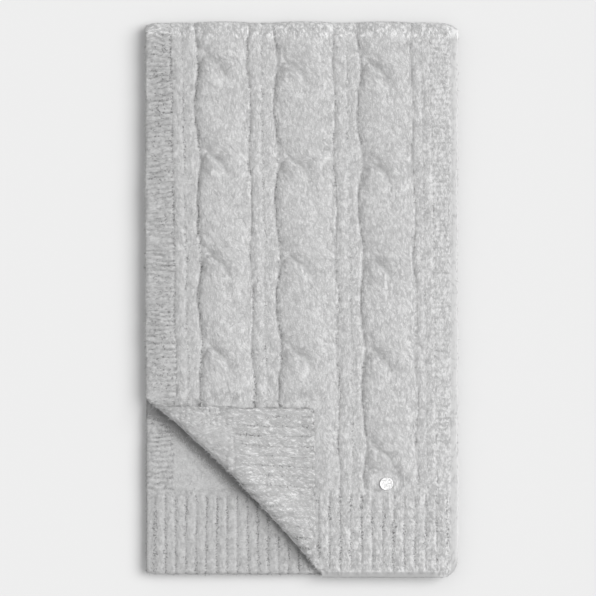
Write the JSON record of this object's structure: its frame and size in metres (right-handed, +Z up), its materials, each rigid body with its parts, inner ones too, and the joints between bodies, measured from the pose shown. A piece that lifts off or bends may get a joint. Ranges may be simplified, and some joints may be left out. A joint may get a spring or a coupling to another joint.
{
  "type": "scarf",
  "caption": "Cable knit scarf folded flat in four layers, with ribbed hems, one lower corner rolled back to show its wrong side, and a small bare metal badge.",
  "frame": {"origin": "centre of the bounding box's underside, on the surface that the scarf rests on", "axes": "X across the scarf to its right side, Y along the scarf from the hem to the folded top edge, Z up from the surface"},
  "size_m": [0.3, 0.5348, 0.0317],
  "materials": {
    "front_knit": "brushed chunky knit, right side, pale grey",
    "corner_knit": "brushed chunky knit, wrong side, pale grey",
    "second_knit": "brushed chunky knit, pale grey",
    "hidden_knit": "brushed chunky knit, pale grey",
    "badge_metal": "satin silver"
  },
  "bodies": {
    "root": {"front_stretch": "front_knit", "turned_corner": "corner_knit", "second_stretch": "second_knit", "folded_stretches": "hidden_knit", "badge": "badge_metal"}
  },
  "joints": []
}
